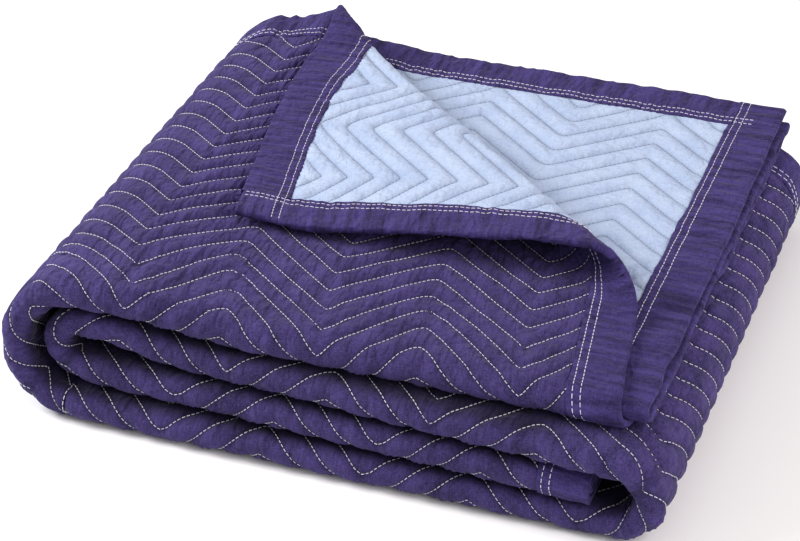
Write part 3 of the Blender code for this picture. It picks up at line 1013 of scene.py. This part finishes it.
# the sheets come first, because the stitches are laid on them
faceSheet = clothPiece("faceSheet", faceHeight, faceLevel, False, faceCloth)
liningSheet = clothPiece("liningSheet", liningHeight, liningLevel, True, liningCloth)
faceStitches = stitchPiece(
    "faceStitches", seamBeads(faceSeamShown, faceHeight, 1, surfaceOf(faceSheet)), whiteThread
)
liningStitches = stitchPiece(
    "liningStitches", seamBeads(liningSeamShown, liningHeight, -1, surfaceOf(liningSheet)),
    paleThread,
)

tapeEnd = fold["bindingWidth"] - 0.002
tapes = {
    "outerEndTape": ("outerEnd", 0.0, across, True),
    "innerEndTape": ("innerEnd", 0.0, across, True),
    "topSideTape": ("topSide", tapeEnd, along - tapeEnd, False),
    "underSideTape": ("underSide", tapeEnd, along - tapeEnd, False),
}
tapePieces = {
    name: tapePiece(name, kind, low, high, closed, bindingTape)
    for name, (kind, low, high, closed) in tapes.items()
}
print("binding strips made")

tapeCorners, tapeFaces = [], []
for piece in tapePieces.values():
    tapeFaces += [[len(tapeCorners) + n for n in face.vertices] for face in piece.data.polygons]
    tapeCorners += [corner.co for corner in piece.data.vertices]
tapeSurface = BVHTree.FromPolygons(tapeCorners, tapeFaces)
tapeStitches = stitchPiece("tapeStitches", sum([
    tapeBeads("outerEnd", 0.002, across - 0.002, tapeSurface),
    tapeBeads("innerEnd", 0.002, across - 0.002, tapeSurface),
    tapeBeads("topSide", 0.002, along - 0.020, tapeSurface),
    tapeBeads("underSide", 0.020, along - 0.020, tapeSurface),
], []), whiteThread)

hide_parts("face_panel")
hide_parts("lining_panel")
for tape, node in (("outerEndTape", "outer_end_binding"), ("innerEndTape", "inner_end_binding"),
                   ("topSideTape", "top_side_binding"), ("underSideTape", "under_side_binding")):
    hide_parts(node)

print("blanket made")


# floor, light and camera
stage = dict(
    floorSize=12.0, floorDrop=0.0004, floorColour=(0.93, 0.93, 0.93),
    world=0.54, worldColour=(0.97, 0.98, 1.0), aim=(0, 0, 0.05),
    key=dict(power=54.0, size=0.9, place=(-1.85, -0.25, 1.32), colour=(1.0, 1.0, 1.0)),
    fill=dict(power=36.0, size=1.6, place=(1.75, -0.55, 1.35), colour=(1.0, 0.91, 0.88)),
)
bpy.ops.object.select_all(action="DESELECT")
bpy.ops.mesh.primitive_plane_add(size=stage["floorSize"], location=(0, 0, -stage["floorDrop"]))
floor = bpy.context.active_object
floor.name = "floor"
paleFloor, _, floorShader = newMaterial("paleFloor", 0.85)
floorShader.inputs["Base Color"].default_value = (*stage["floorColour"], 1.0)
floor.data.materials.append(paleFloor)

world = bpy.data.worlds.new("studio")
bpy.context.scene.world = world
world.use_nodes = True
sky = world.node_tree.nodes["Background"]
sky.inputs["Color"].default_value = (*stage["worldColour"], 1.0)
sky.inputs["Strength"].default_value = stage["world"]


def softBox(name, lamp):
    light = bpy.data.lights.new(name, "AREA")
    light.energy, light.size, light.color = lamp["power"], lamp["size"], lamp["colour"]
    box = bpy.data.objects.new(name, light)
    bpy.context.scene.collection.objects.link(box)
    box.location = lamp["place"]
    heading = Vector(stage["aim"]) - Vector(lamp["place"])
    box.rotation_euler = heading.to_track_quat("-Z", "Y").to_euler()


softBox("keyLight", stage["key"])
softBox("fillLight", stage["fill"])

view = dict(elevation=35.07, azimuth=20.83, roll=-1.26, away=2.0066, centre=(0.0, -0.00375, 0.0),
            lens=107.3, shift=(-0.0296, 0.0465), sensor=36.0)


# a long lens in front and to the right, a little rolled
def addCamera():
    elevation, azimuth, roll = (math.radians(view[a]) for a in ("elevation", "azimuth", "roll"))
    back = np.array([
        math.sin(azimuth) * math.cos(elevation), -math.cos(azimuth) * math.cos(elevation),
        math.sin(elevation),
    ])
    right = np.array([math.cos(azimuth), math.sin(azimuth), 0.0])
    up = np.cross(back, right)
    turned = math.cos(roll) * right + math.sin(roll) * up
    raised = math.cos(roll) * up - math.sin(roll) * right
    place = np.eye(4)
    place[:3, :3] = np.array([turned, raised, back]).T
    place[:3, 3] = view["away"] * back + np.array(view["centre"])
    data = bpy.data.cameras.new("camera")
    data.sensor_fit, data.sensor_width = "HORIZONTAL", view["sensor"]
    data.lens, (data.shift_x, data.shift_y) = view["lens"], view["shift"]
    camera = bpy.data.objects.new("camera", data)
    bpy.context.scene.collection.objects.link(camera)
    camera.matrix_world = Matrix(place.tolist())
    bpy.context.scene.camera = camera


addCamera()
bpy.context.scene.view_settings.view_transform = "Standard"
print("stage made")
